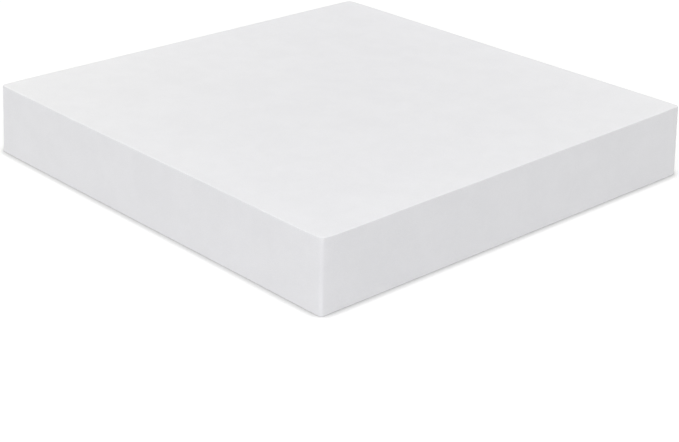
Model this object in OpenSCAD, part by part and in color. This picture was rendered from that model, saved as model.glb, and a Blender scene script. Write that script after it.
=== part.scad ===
// Foam block: a square slab of white fine-celled foam, cut from sheet stock.
//
// The slab lies flat. Its origin is the centre of the bottom face, +Z is its thickness,
// and X and Y run along its sides. All sizes are millimetres.
//
// The cut leaves every edge slightly soft: the four upright corners carry the larger
// radius, and a smaller one runs right round the top and bottom faces.

/* [Slab] */
// Side of the slab along X
slab_x = 304.8; // [120:0.1:620]
// Side of the slab along Y
slab_y = 304.8; // [120:0.1:620]
// Thickness, from the bottom face to the top face
slab_t = 44.45; // [12:0.05:120]

/* [Soft edges] */
// Radius of the four upright corners, seen from above
corner_r = 2.0; // [0.5:0.1:12]
// Radius of the edges round the top and bottom faces, at most nine tenths of corner_r
arris_r = 0.3; // [0.2:0.05:4]

/* [Hidden] */
$fn = 96;
foam_white = [0.93, 0.93, 0.94];
// The rim turns round the upright corners, so its own rounding stays inside their radius
rim_r = min(arris_r, 0.9 * corner_r);
// Sides without their upright corners
straight_x = slab_x - 2 * corner_r;
straight_y = slab_y - 2 * corner_r;

// Half a section across the slab: a strip from the upright line at 0 out to the cut
// face at reach, with its top and bottom outer edges rounded.
module rim_section(reach) {
    square([reach - rim_r, slab_t]);
    translate([0, rim_r])
        square([reach, slab_t - 2 * rim_r]);
    for (level = [rim_r, slab_t - rim_r])
        translate([reach - rim_r, level])
            circle(r = rim_r);
}

// Whole section across the slab, width from one cut face to the other.
module slab_section(width) {
    rim_section(width / 2);
    mirror([1, 0])
        rim_section(width / 2);
}

// Straight run of the slab: the section across the given width, drawn along Y.
module straight_run(width, run)
    rotate([90, 0, 0])
        linear_extrude(height = run, center = true)
            slab_section(width);

// One upright corner, round the line at the origin: the same rim turned a quarter.
module upright_corner()
    rotate_extrude(angle = 90)
        rim_section(corner_r);

module foam_block()
    color(foam_white)
        union() {
            straight_run(slab_x, straight_y);
            rotate([0, 0, 90])
                straight_run(slab_y, straight_x);
            for (quarter = [0:3]) {
                along_x = quarter == 0 || quarter == 3 ? 1 : -1;
                along_y = quarter < 2 ? 1 : -1;
                translate([along_x * straight_x / 2, along_y * straight_y / 2, 0])
                    rotate([0, 0, 90 * quarter])
                        upright_corner();
            }
        }

foam_block();
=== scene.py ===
"""Looks of the foam block: a square slab of white fine-celled foam lying on a white floor.

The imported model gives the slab's box. One closed mesh takes the place of its plain solid:
cut faces that wander by a tenth or two of a millimetre, edges that the cut left soft, and
a body that light soaks into a little way. Lengths are metres and angles degrees, unless a
name says otherwise.
"""

import logging
import math
from collections.abc import Iterable
from dataclasses import dataclass, field
from enum import Enum
from typing import Any

import bmesh
import bpy
from mathutils import Matrix, Vector, noise

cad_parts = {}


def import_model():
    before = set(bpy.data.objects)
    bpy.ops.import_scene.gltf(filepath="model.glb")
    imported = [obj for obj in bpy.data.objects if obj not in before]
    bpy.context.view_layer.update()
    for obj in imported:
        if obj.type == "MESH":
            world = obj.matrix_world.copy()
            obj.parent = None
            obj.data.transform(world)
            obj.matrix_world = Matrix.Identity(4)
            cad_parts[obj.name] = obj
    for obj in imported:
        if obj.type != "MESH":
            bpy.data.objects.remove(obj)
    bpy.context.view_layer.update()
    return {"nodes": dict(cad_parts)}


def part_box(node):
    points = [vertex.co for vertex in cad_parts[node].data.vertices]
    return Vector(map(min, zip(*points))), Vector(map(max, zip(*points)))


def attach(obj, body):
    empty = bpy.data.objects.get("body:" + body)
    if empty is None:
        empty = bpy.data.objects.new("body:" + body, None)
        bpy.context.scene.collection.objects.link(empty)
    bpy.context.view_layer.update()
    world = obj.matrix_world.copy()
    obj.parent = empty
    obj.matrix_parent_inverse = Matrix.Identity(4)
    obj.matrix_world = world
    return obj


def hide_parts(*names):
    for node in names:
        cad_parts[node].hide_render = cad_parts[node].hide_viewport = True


frame: dict[str, Any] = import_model()

LOG = logging.getLogger("foam_block")
MM = 0.001

# The painted glow on the slab's mesh that its finish reads: 1 at a side and less further in. It
# paints the foam paler in place of light that enters through two faces.
PAINTED_GLOW = "painted_glow_at_sides"

# Colours of light, linear.
WHITE = (1.0, 1.0, 1.0)
WARM_WHITE = (1.0, 1.0, 0.7)


class Slot(Enum):
    """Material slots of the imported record."""

    FOAM = "foam"


class Axis(Enum):
    """Directions of the slab's sides and of its thickness."""

    X = 0
    Y = 1
    Z = 2


class Ray(Enum):
    """Light Path outputs for the rays that should see a white studio."""

    CAMERA = "Is Camera Ray"
    GLOSSY = "Is Glossy Ray"
    TRANSMISSION = "Is Transmission Ray"


@dataclass(frozen=True)
class Wave:
    """One scale at which the cut faces wander from true.

    Args:
        length: distance over which the surface rises and falls.
        height: how far it wanders to either side.
        shift: where the pattern is read from, so that no two scales agree.
    """

    length: float
    height: float
    shift: float

    def at(self, place: Vector) -> Vector:
        """Gives how far a point of the true slab moves, along all three axes."""
        spot = place / self.length + Vector.Fill(3, self.shift)
        return noise.noise_vector(spot) * self.height


class NodeBench:
    """Places and links shader nodes in one node tree.

    Args:
        tree: the node tree to work in, emptied first.
    """

    def __init__(self, tree: bpy.types.NodeTree) -> None:
        """Empties the tree and keeps it."""
        self.tree = tree
        self.tree.nodes.clear()

    def node(
        self, kind: str, values: dict[str, Any] | None = None, **settings: Any
    ) -> bpy.types.Node:
        """Adds a node.

        Args:
            kind: the node's type name, without its ShaderNode prefix.
            values: socket name to a plain value, or to the output socket that feeds it.
            settings: properties of the node itself.

        Returns:
            The new node.
        """
        made = self.tree.nodes.new("ShaderNode" + kind)
        for name, value in settings.items():
            setattr(made, name, value)
        for name, value in (values or {}).items():
            self.feed(made.inputs[name], value)
        return made

    def feed(self, socket: bpy.types.NodeSocket, value: Any) -> None:
        """Links an output to a socket, or sets the socket's own value.

        Args:
            socket: the input to feed.
            value: an output socket or a plain value.
        """
        if isinstance(value, bpy.types.NodeSocket):
            self.tree.links.new(value, socket)
        else:
            socket.default_value = value

    def math(self, operation: str, first: Any, second: Any = 0.0) -> bpy.types.NodeSocket:
        """Adds a Math node.

        Args:
            operation: the node's operation, such as MULTIPLY.
            first: its first value or feeding socket.
            second: its second value or feeding socket.

        Returns:
            The result's socket.
        """
        made = self.node("Math", operation=operation)
        self.feed(made.inputs[0], first)
        self.feed(made.inputs[1], second)
        return made.outputs[0]

    def ramp(
        self, value: Any, result: tuple[float, float], span: tuple[float, float] = (0.0, 1.0)
    ) -> bpy.types.NodeSocket:
        """Maps one span of values smoothly onto another, and holds it at the ends.

        Args:
            value: the feeding socket.
            result: what the lowest and highest value read become.
            span: those two values.

        Returns:
            The result's socket.
        """
        made = self.node("MapRange", {"Value": value}, interpolation_type="SMOOTHSTEP")
        for name, number in zip(("From Min", "From Max", "To Min", "To Max"), span + result):
            made.inputs[name].default_value = number
        return made.outputs["Result"]

    def seen_directly(self) -> bpy.types.NodeSocket:
        """Tells where a surface is seen, and not only sends light on.

        Returns:
            The socket that is 1 where the camera sees it, straight, mirrored or through glass.
        """
        path = self.node("LightPath").outputs
        mirrored = self.math("MAXIMUM", path[Ray.CAMERA.value], path[Ray.GLOSSY.value])
        return self.math("MAXIMUM", mirrored, path[Ray.TRANSMISSION.value])


@dataclass(frozen=True)
class FoamFinish:
    """Dull white foam of fine open cells.

    Args:
        colour: its colour where nothing shades it, linear.
        cell: usual width of a cell.
        cell_wall: how far from a cell's middle its pit ends and its wall stands full, in cells.
        painted_cell_shade: how much darker the pit of a cut cell is painted, as painted shade in
            the hollow.
        cell_depth: how deep that pit is.
        pit_roughness: how rough the pit is.
        wall_roughness: how rough the cut wall between cells is.
        mottle: spacing of the faint cloudiness in the foam.
        mottle_detail: how many times the cloudiness is repeated at finer scales.
        mottle_fading: strength of each finer scale, as a share of the one before it.
        mottle_span: values of the cloudiness that look darkest and palest.
        mottle_shade: how strong the cloudiness is.
        soak: how far light travels inside the foam.
        soak_share: how much of that way red, green and blue light go.
        gloss: strength of its faint surface reflection.
        painted_rim_light: how much paler the foam is painted at a side, a painted glow for light
            that enters from two faces.
    """

    colour: tuple[float, float, float] = (0.829, 0.828, 0.851)
    cell: float = 0.5 * MM
    cell_wall: tuple[float, float] = (0.15, 0.75)
    painted_cell_shade: float = 0.03
    cell_depth: float = 0.04 * MM
    pit_roughness: float = 1.0
    wall_roughness: float = 0.9
    mottle: float = 18.0 * MM
    mottle_detail: float = 3.0
    mottle_fading: float = 0.6
    mottle_span: tuple[float, float] = (0.3, 0.7)
    mottle_shade: float = 0.01
    soak: float = 0.15 * MM
    soak_share: tuple[float, float, float] = (1.0, 1.0, 1.0)
    gloss: float = 0.2
    painted_rim_light: float = 0.039

    def material(self) -> bpy.types.Material:
        """Builds the finish as a node material.

        Returns:
            The material.
        """
        made = bpy.data.materials.new("white_foam")
        made.use_nodes = True
        bench = NodeBench(made.node_tree)
        place = bench.node("TexCoord").outputs["Object"]
        cells = bench.node("TexVoronoi", {"Vector": place, "Scale": 1 / self.cell})
        wall = bench.ramp(cells.outputs["Distance"], (0.0, 1.0), span=self.cell_wall)
        clouds = bench.node(
            "TexNoise",
            {
                "Vector": place,
                "Scale": 1 / self.mottle,
                "Detail": self.mottle_detail,
                "Roughness": self.mottle_fading,
            },
        )
        # Painted shade: the pit of each cut cell is made darker, as shade would fall in the hollow.
        painted_pit_shade = bench.ramp(wall, (1 - self.painted_cell_shade, 1.0))
        cloud_shade = bench.ramp(
            clouds.outputs["Fac"],
            (1 - self.mottle_shade, 1 + self.mottle_shade),
            span=self.mottle_span,
        )
        # Painted light: the foam is made paler near its sides and uprights, in place of light that
        # enters through two faces.
        painted_glow_here = bench.node("Attribute", attribute_name=PAINTED_GLOW).outputs["Fac"]
        painted_rim_glow = bench.math("ADD", bench.math("MULTIPLY", painted_glow_here, self.painted_rim_light), 1.0)
        # The colour's scale joins the painted pit shade, the random cloudiness and the painted glow
        # of the sides.
        shade = bench.math("MULTIPLY", bench.math("MULTIPLY", painted_pit_shade, cloud_shade), painted_rim_glow)
        tone = bench.node("VectorMath", operation="SCALE")
        tone.inputs[0].default_value = self.colour
        bench.feed(tone.inputs["Scale"], shade)
        bump = bench.node("Bump", {"Height": wall, "Strength": 1.0, "Distance": self.cell_depth})
        dull = bench.ramp(wall, (self.pit_roughness, self.wall_roughness))
        surface = bench.node(
            "BsdfPrincipled",
            {
                "Base Color": tone.outputs["Vector"],
                "Roughness": dull,
                "Specular IOR Level": self.gloss,
                "Subsurface Weight": 1.0,
                "Subsurface Radius": self.soak_share,
                "Subsurface Scale": self.soak,
                "Normal": bump.outputs["Normal"],
            },
            subsurface_method="RANDOM_WALK",
        )
        bench.node("OutputMaterial", {"Surface": surface.outputs["BSDF"]})
        return made


@dataclass(frozen=True)
class Corner:
    """One corner of the slab, and how true the slab came out there.

    Args:
        side_x: which side it is on along X, -1 or 1.
        side_y: which side it is on along Y, -1 or 1.
        rise: how far the top lies above its true level there.
        stray: how far it stands out along X beyond its true place.
        ease_x: how far the side square to X draws in towards the upright corner, as cut foam does.
        ease_y: how far the side square to Y does.
        foot: height over which that ease grows from nothing at the base, or 0 for all of it there.
        glow: how much paler its upright is painted, a painted glow for light that enters from both
            sides.
    """

    side_x: int
    side_y: int
    rise: float = 0.0
    stray: float = 0.0
    ease_x: float = 0.55 * MM
    ease_y: float = 0.55 * MM
    foot: float = 0.0
    glow: float = 0.6

    def share(self, across: float, along: float) -> float:
        """Gives 1 at this corner and 0 along the far sides, for a place told from -1 to 1."""
        return (1 + self.side_x * across) * (1 + self.side_y * along) / 4

    def away(self, out: Vector, half: Vector) -> float:
        """Gives how far a place, told from the middle of the slab, is from this upright."""
        return half.x - self.side_x * out.x + half.y - self.side_y * out.y


@dataclass
class FoamBlock:
    """The slab, cut from sheet stock in one piece.

    Args:
        low: lowest corner of the CAD solid's box.
        high: highest corner of it.
        finish: what the foam looks like.
        corner_radius: radius of the four upright corners.
        corner_steps: how many faces the quarter turn of an upright takes.
        arris_radius: radius of the edges round the top and bottom faces.
        arris_steps: how many faces the quarter turn of such an edge takes.
        sharp: how far the two faces of a sharp edge turn, at least.
        face_lead: how far the large faces lead the shading across an edge, out of 100.
        corners: the four corners.
        ease_reach: how far from a corner its ease dies away to about a third.
        lean: how far each side leans in from the bottom to the top, where the blade wandered.
        border: width of the strip beside each edge that the net leaves whole.
        pitch: spacing of the net over the faces.
        painted_glow_reach: how far from a side its painted glow dies away to about a third.
        settle: height over which the slab goes from lying flat to wandering freely.
        waves: the scales at which its faces wander.
        seed: picks one of all possible wanders, so that every run gives the same slab.
    """

    low: Vector
    high: Vector
    finish: FoamFinish = field(default_factory=FoamFinish)
    corner_radius: float = 2.0 * MM
    corner_steps: int = 8
    arris_radius: float = 0.3 * MM
    arris_steps: int = 5
    sharp: float = 60.0
    face_lead: int = 100
    corners: tuple[Corner, ...] = (
        Corner(side_x=-1, side_y=-1),
        Corner(
            side_x=1, side_y=-1, rise=-0.9 * MM, stray=0.3 * MM, ease_x=1.5 * MM, ease_y=0.8 * MM,
            foot=20.0 * MM, glow=0.0,
        ),
        Corner(side_x=1, side_y=1, rise=1.1 * MM),
        Corner(side_x=-1, side_y=1, rise=-0.8 * MM),
    )
    ease_reach: float = 6.0 * MM
    lean: float = 1.5 * MM
    border: float = 3.0 * MM
    pitch: float = 2.5 * MM
    painted_glow_reach: float = 50.0 * MM
    settle: float = 8.0 * MM
    waves: tuple[Wave, ...] = (
        Wave(length=110 * MM, height=0.15 * MM, shift=3.1),
        Wave(length=34 * MM, height=0.06 * MM, shift=17.7),
        Wave(length=11 * MM, height=0.02 * MM, shift=41.3),
    )
    seed: int = 1

    @property
    def middle(self) -> Vector:
        """Gives the middle of the slab."""
        return (self.low + self.high) / 2

    @property
    def half(self) -> Vector:
        """Gives half the slab's size along each axis."""
        return (self.high - self.low) / 2

    def blank(self) -> bmesh.types.BMesh:
        """Makes the true slab with sharp edges, its faces cut into a net.

        Returns:
            The mesh, in the CAD frame.
        """
        mesh = bmesh.new()
        bmesh.ops.create_cube(mesh, size=1.0)
        bmesh.ops.scale(mesh, vec=self.high - self.low, verts=mesh.verts)
        bmesh.ops.translate(mesh, vec=self.middle, verts=mesh.verts)
        for axis in Axis:
            self.rule_net(mesh, axis)
        return mesh

    def rule_net(self, mesh: bmesh.types.BMesh, axis: Axis) -> None:
        """Cuts the faces square to one axis: a border at each end, then even steps between.

        Args:
            mesh: the slab so far.
            axis: the direction that the cuts are spaced along.
        """
        square_to = Vector([float(axis is other) for other in Axis])
        ends = (self.low[axis.value] + self.border, self.high[axis.value] - self.border)
        for end in ends:
            bmesh.ops.bisect_plane(
                mesh,
                geom=[*mesh.verts, *mesh.edges, *mesh.faces],
                plane_co=square_to * end,
                plane_no=square_to,
            )
        spans = [edge for edge in mesh.edges if self.spans_middle(edge, axis)]
        steps = round((ends[1] - ends[0]) / self.pitch)
        bmesh.ops.subdivide_edges(mesh, edges=spans, cuts=steps - 1)

    def spans_middle(self, edge: bmesh.types.BMEdge, axis: Axis) -> bool:
        """Says whether an edge crosses the slab's middle along one axis.

        Args:
            edge: an edge of the slab.
            axis: the direction to look along.

        Returns:
            True if its ends lie on either side of the middle.
        """
        middle = self.middle[axis.value]
        first, second = (vertex.co[axis.value] - middle for vertex in edge.verts)
        return first * second < 0.0

    def soften(self, mesh: bmesh.types.BMesh) -> None:
        """Rounds the upright corners, then the rims of the top and bottom faces.

        Args:
            mesh: the slab with sharp edges.
        """
        uprights = [edge for edge in self.arrises(mesh) if self.is_upright(edge)]
        self.round_over(mesh, uprights, self.corner_radius, self.corner_steps)
        mesh.normal_update()
        rims = [edge for edge in self.arrises(mesh) if not self.is_upright(edge)]
        self.round_over(mesh, rims, self.arris_radius, self.arris_steps)

    def arrises(self, mesh: bmesh.types.BMesh) -> list[bmesh.types.BMEdge]:
        """Finds the sharp edges."""
        return [edge for edge in mesh.edges if edge.calc_face_angle(0.0) > math.radians(self.sharp)]

    @staticmethod
    def is_upright(edge: bmesh.types.BMEdge) -> bool:
        """Says whether an edge runs along the thickness."""
        along = edge.verts[1].co - edge.verts[0].co
        return abs(along.z) > max(abs(along.x), abs(along.y))

    @staticmethod
    def round_over(
        mesh: bmesh.types.BMesh, edges: list[bmesh.types.BMEdge], radius: float, steps: int
    ) -> None:
        """Rounds some edges to one radius.

        Args:
            mesh: the slab.
            edges: its edges to round.
            radius: the radius they get.
            steps: how many faces the quarter turn takes.
        """
        bmesh.ops.bevel(
            mesh,
            geom=edges,
            offset=radius,
            offset_type="OFFSET",
            segments=steps,
            profile=0.5,
            affect="EDGES",
            material=-1,
            clamp_overlap=False,
        )

    def mark_painted_glow(self, mesh: bmesh.types.BMesh) -> None:
        """Notes at each point how strongly the foam is painted paler there, as painted glow: 1 at
        the side itself, less further in, more near a glowing upright.

        Args:
            mesh: the slab with its soft edges.
        """
        layer = mesh.verts.layers.float.new(PAINTED_GLOW)
        middle, half = self.middle, self.half
        for vertex in mesh.verts:
            out = vertex.co - middle
            from_side = min(half.x - abs(out.x), half.y - abs(out.y))
            # Painted glow that makes the foam paler towards every side.
            vertex[layer] = math.exp(-from_side / self.painted_glow_reach)
            for corner in self.corners:
                # Painted glow: a paler band down the upright, in place of light that enters from
                # both sides.
                vertex[layer] += corner.glow * math.exp(-corner.away(out, half) / self.ease_reach)

    def ease_corners(self, mesh: bmesh.types.BMesh) -> None:
        """Draws the sides in a little towards the upright corners.

        Args:
            mesh: the slab with its soft edges.
        """
        middle, half = self.middle, self.half
        for vertex in mesh.verts:
            out = vertex.co - middle
            for corner in self.corners:
                pull = math.exp(-corner.away(out, half) / self.ease_reach)
                if corner.foot:
                    pull *= grown(vertex.co.z - self.low.z, corner.foot)
                vertex.co.x -= corner.side_x * corner.ease_x * pull
                vertex.co.y -= corner.side_y * corner.ease_y * pull

    def cut_untrue(self, mesh: bmesh.types.BMesh) -> None:
        """Leans the sides in and sets the thickness at each corner, with the base left as it is.

        Args:
            mesh: the slab.
        """
        middle, half = self.middle, self.half
        for vertex in mesh.verts:
            out = vertex.co - middle
            up = (vertex.co.z - self.low.z) / (self.high.z - self.low.z)
            across, along = out.x / half.x, out.y / half.y
            vertex.co.x -= self.lean * up * across
            vertex.co.y -= self.lean * up * along
            for corner in self.corners:
                share = corner.share(across, along)
                vertex.co.x += corner.side_x * corner.stray * share
                vertex.co.z += corner.rise * share * up

    def wander(self, mesh: bmesh.types.BMesh) -> None:
        """Lets the faces and edges wander a little, and keeps the base flat.

        Args:
            mesh: the slab with its soft edges.
        """
        noise.seed_set(self.seed)
        for vertex in mesh.verts:
            move = sum((wave.at(vertex.co) for wave in self.waves), Vector())
            move.z *= grown(vertex.co.z - self.low.z, self.settle)
            vertex.co += move

    @staticmethod
    def put_in_order(mesh: bmesh.types.BMesh) -> None:
        """Sorts points and faces by place, because bevel lists a few in another order each run.

        Args:
            mesh: the finished slab.
        """
        points = sorted(mesh.verts, key=lambda point: tuple(point.co))
        mesh.verts.sort(key={point: number for number, point in enumerate(points)}.get)
        faces = sorted(mesh.faces, key=lambda face: tuple(face.calc_center_median()))
        mesh.faces.sort(key={face: number for number, face in enumerate(faces)}.get)

    def build(self) -> None:
        """Builds the slab, dresses it and ties it to the frame."""
        mesh = self.blank()
        self.soften(mesh)
        self.mark_painted_glow(mesh)
        self.ease_corners(mesh)
        self.cut_untrue(mesh)
        self.wander(mesh)
        bmesh.ops.recalc_face_normals(mesh, faces=mesh.faces)
        self.put_in_order(mesh)
        LOG.info("the slab has %d points and %d faces", len(mesh.verts), len(mesh.faces))
        slab = mesh_in_scene("foam_slab", mesh, self.finish.material())
        slab.data.shade_smooth()
        even = slab.modifiers.new("even_shading", "WEIGHTED_NORMAL")
        even.weight = self.face_lead
        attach(slab, "root")
        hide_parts("foam_block")


@dataclass(frozen=True)
class SoftLamp:
    """A broad, even lamp far away, so that it lights floor and slab alike.

    Args:
        name: what the lamp is for.
        azimuth: where it stands round the slab, as the view tool counts.
        elevation: how high it stands.
        level: how bright it makes a white surface that faces it.
        spread: how wide it looks from the slab.
    """

    name: str
    azimuth: float
    elevation: float
    level: float
    spread: float

    def place(self) -> None:
        """Puts the lamp in the scene."""
        light = bpy.data.lights.new(self.name, "SUN")
        # A sun of strength pi shows a white surface that faces it at level 1.
        light.energy = math.pi * self.level
        light.angle = math.radians(self.spread)
        put_in_scene(self.name, light).matrix_world = turned(self.azimuth, self.elevation)


@dataclass(frozen=True)
class NearLamp:
    """A round soft panel close to one corner of the slab's top.

    Args:
        name: what the lamp is for.
        side_x: which side its corner is on along X, -1 or 1.
        side_y: which side its corner is on along Y, -1 or 1.
        inset: how far inside the corner the spot lies that it faces, along X and Y alike.
        azimuth: where it stands round that spot, as the view tool counts.
        elevation: how high it stands above it.
        distance: how far it stands from it.
        level: how bright it makes a white surface that faces it there.
        width: its diameter.
        colour: the colour of its light.
    """

    name: str
    side_x: int
    side_y: int
    inset: float
    azimuth: float
    elevation: float
    distance: float
    level: float
    width: float
    colour: tuple[float, float, float] = WHITE

    def place(self, low: Vector, high: Vector) -> None:
        """Puts the lamp in the scene.

        Args:
            low: lowest corner of the slab's box.
            high: highest corner of it.
        """
        half = (high - low) / 2
        from_middle = Vector(
            (self.side_x * (half.x - self.inset), self.side_y * (half.y - self.inset), half.z)
        )
        facing = turned(self.azimuth, self.elevation)
        stand = (low + high) / 2 + from_middle + facing @ Vector((0.0, 0.0, self.distance))
        light = bpy.data.lights.new(self.name, "AREA")
        light.shape = "DISK"
        light.size = self.width
        light.color = self.colour
        # A disk of this power gives its level straight ahead, at its distance.
        light.energy = math.pi**2 * (self.distance**2 + (self.width / 2) ** 2) * self.level
        lamp = put_in_scene(self.name, light)
        lamp.matrix_world = Matrix.Translation(stand) @ facing
        lamp.visible_camera = False


@dataclass(frozen=True)
class Studio:
    """A white floor in a white room, lit softly from all round.

    Args:
        low: lowest corner of the slab's box.
        high: highest corner of it.
        room_level: how bright the room is for the slab.
        floor_reach: how far the floor runs from the slab.
        floor_gap: how far the floor lies below the slab's base, so that they never share a plane.
        floor_shade: how much of the light that falls on it the floor sends back.
        floor_lift: how much brighter it looks where it is seen, so that it shows as white.
        painted_crease_shadow: how close to the slab that lift fades, which paints a contact shadow
            in the crease under its edges.
        crease_span: how open the floor is where the lift begins and where it is full.
        crease_rays: how many rays find out how open it is.
        far_lamps: the lamps that light floor and slab alike.
        near_lamps: the lamps close to the slab's corners.
    """

    low: Vector
    high: Vector
    room_level: float = 0.524
    floor_reach: float = 12.0
    floor_gap: float = 0.02 * MM
    floor_shade: float = 0.538
    floor_lift: float = 0.56
    painted_crease_shadow: float = 7.5 * MM
    crease_span: tuple[float, float] = (0.35, 1.0)
    crease_rays: int = 8
    far_lamps: tuple[SoftLamp, ...] = (
        SoftLamp("front_lamp", azimuth=46.6, elevation=45.0, level=0.494, spread=120.0),
        SoftLamp("left_lamp", azimuth=0.0, elevation=12.0, level=0.104, spread=50.0),
    )
    near_lamps: tuple[NearLamp, ...] = (
        NearLamp(
            "left_corner_lamp", side_x=-1, side_y=-1, inset=30.4 * MM, azimuth=-64.0,
            elevation=67.3, distance=223.0 * MM, level=0.054, width=150.0 * MM, colour=WARM_WHITE,
        ),
        NearLamp(
            "right_corner_lamp", side_x=1, side_y=1, inset=10.4 * MM, azimuth=135.0,
            elevation=68.4, distance=222.0 * MM, level=0.034, width=150.0 * MM, colour=WARM_WHITE,
        ),
        NearLamp(
            "front_corner_lamp", side_x=1, side_y=-1, inset=0.4 * MM, azimuth=45.0,
            elevation=44.0, distance=369.0 * MM, level=0.064, width=300.0 * MM,
        ),
    )

    def build(self) -> None:
        """Makes the room, the floor and the lamps, and sets how tones are shown."""
        bpy.context.scene.view_settings.view_transform = "Standard"
        self.paint_room()
        self.lay_floor()
        for lamp in self.far_lamps:
            lamp.place()
        for lamp in self.near_lamps:
            lamp.place(self.low, self.high)

    def paint_room(self) -> None:
        """Makes the world: an even glow for the slab, and white where it is seen."""
        world = bpy.data.worlds.new("white_room")
        world.use_nodes = True
        bpy.context.scene.world = world
        bench = NodeBench(world.node_tree)
        glow = bench.node("Background", {"Color": (*WHITE, 1.0), "Strength": self.room_level})
        white = bench.node("Background", {"Color": (*WHITE, 1.0), "Strength": 1.0})
        shown = bench.node("MixShader", {"Fac": bench.seen_directly()})
        bench.feed(shown.inputs[1], glow.outputs["Background"])
        bench.feed(shown.inputs[2], white.outputs["Background"])
        bench.node("OutputWorld", {"Surface": shown.outputs["Shader"]})
        LOG.info("%s is round the scene", world.name)

    def lay_floor(self) -> None:
        """Lays the floor just under the slab."""
        mesh = bmesh.new()
        bmesh.ops.create_grid(mesh, x_segments=1, y_segments=1, size=self.floor_reach)
        bmesh.ops.translate(mesh, vec=(0.0, 0.0, self.low.z - self.floor_gap), verts=mesh.verts)
        floor = mesh_in_scene("white_floor", mesh, self.floor_material())

    def floor_material(self) -> bpy.types.Material:
        """Builds the floor's material, which keeps the slab's shadow and adds a painted contact
        shadow in the crease beside it.

        Returns:
            The material.
        """
        made = bpy.data.materials.new("floor_white")
        made.use_nodes = True
        bench = NodeBench(made.node_tree)
        shade = (self.floor_shade, self.floor_shade, self.floor_shade, 1.0)
        paint = bench.node("BsdfDiffuse", {"Color": shade})
        # Painted shadow: ambient occlusion takes the lift away beside the slab, on top of the real
        # shade in the floor's paint.
        painted_crease_shadow = bench.node("AmbientOcclusion", {"Distance": self.painted_crease_shadow}, samples=self.crease_rays)
        lift = bench.ramp(painted_crease_shadow.outputs["AO"], (0.0, self.floor_lift), span=self.crease_span)
        strength = bench.math("MULTIPLY", bench.seen_directly(), lift)
        glow = bench.node("Emission", {"Strength": strength})
        both = bench.node("AddShader")
        bench.feed(both.inputs[0], paint.outputs["BSDF"])
        bench.feed(both.inputs[1], glow.outputs["Emission"])
        bench.node("OutputMaterial", {"Surface": both.outputs["Shader"]})
        return made


@dataclass(frozen=True)
class Viewpoint:
    """Where the camera stands, told from the middle of the slab.

    Args:
        azimuth: its bearing round the slab, 0 looking along +Y.
        elevation: its height above the horizon.
        roll: how far it leans to the left.
        distance: its distance from the point that it is aimed at.
        aim_right: how far that point lies to the right of the slab's middle, as the camera sees it.
        aim_up: how far it lies above it, likewise.
        lens: focal length in millimetres, on a film 36 mm wide.
    """

    azimuth: float = 46.657
    elevation: float = 24.111
    roll: float = 1.364
    distance: float = 1.046
    aim_right: float = 2.44 * MM
    aim_up: float = -58.0 * MM
    lens: float = 87.61

    def place(self, middle: Vector) -> None:
        """Puts the camera in the scene and makes it the scene's own.

        Args:
            middle: the middle of the slab.
        """
        level = turned(self.azimuth, self.elevation)
        offset = level @ Vector((self.aim_right, self.aim_up, self.distance))
        data = bpy.data.cameras.new("camera")
        data.lens = self.lens
        camera = put_in_scene("camera", data)
        lean = Matrix.Rotation(math.radians(self.roll), 4, "Z")
        camera.matrix_world = Matrix.Translation(middle + offset) @ level @ lean
        bpy.context.scene.camera = camera


def put_in_scene(name: str, data: bpy.types.ID) -> bpy.types.Object:
    """Makes an object, adds it to the scene and reports it.

    Args:
        name: its name.
        data: its mesh, light or camera.

    Returns:
        The object.
    """
    made = bpy.data.objects.new(name, data)
    bpy.context.scene.collection.objects.link(made)
    LOG.info("%s is in the scene", name)
    return made


def mesh_in_scene(
    name: str, mesh: bmesh.types.BMesh, material: bpy.types.Material
) -> bpy.types.Object:
    """Makes an object of a finished mesh in one material, and frees the working mesh.

    Args:
        name: its name.
        mesh: its mesh, in the CAD frame.
        material: what it is made of.

    Returns:
        The object.
    """
    data = bpy.data.meshes.new(name)
    mesh.to_mesh(data)
    mesh.free()
    data.materials.append(material)
    return put_in_scene(name, data)


def grown(height: float, over: float) -> float:
    """Gives a smooth rise from 0 at the base to 1 higher up.

    Args:
        height: the height above the base.
        over: the height at which the rise ends.

    Returns:
        How far it has risen.
    """
    part = min(1.0, height / over)
    # The cubic that leaves 0 and reaches 1 level.
    return part * part * (3 - 2 * part)


def turned(azimuth: float, elevation: float) -> Matrix:
    """Turns a camera or lamp that stands at a bearing and height so that it faces the origin.

    Args:
        azimuth: its bearing, 0 looking along +Y and 90 along -X.
        elevation: its height above the horizon.

    Returns:
        The turn, with its third column pointing back from the origin.
    """
    bearing = Matrix.Rotation(math.radians(azimuth), 4, "Z")
    return bearing @ Matrix.Rotation(math.radians(90.0 - elevation), 4, "X")


def main() -> None:
    """Builds the slab, the studio and the camera."""
    logging.basicConfig(level=logging.INFO, format="%(name)s: %(message)s")
    low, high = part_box("foam_block")
    FoamBlock(low, high).build()
    Studio(low, high).build()
    Viewpoint().place((low + high) / 2)


if __name__ == "__main__":
    main()
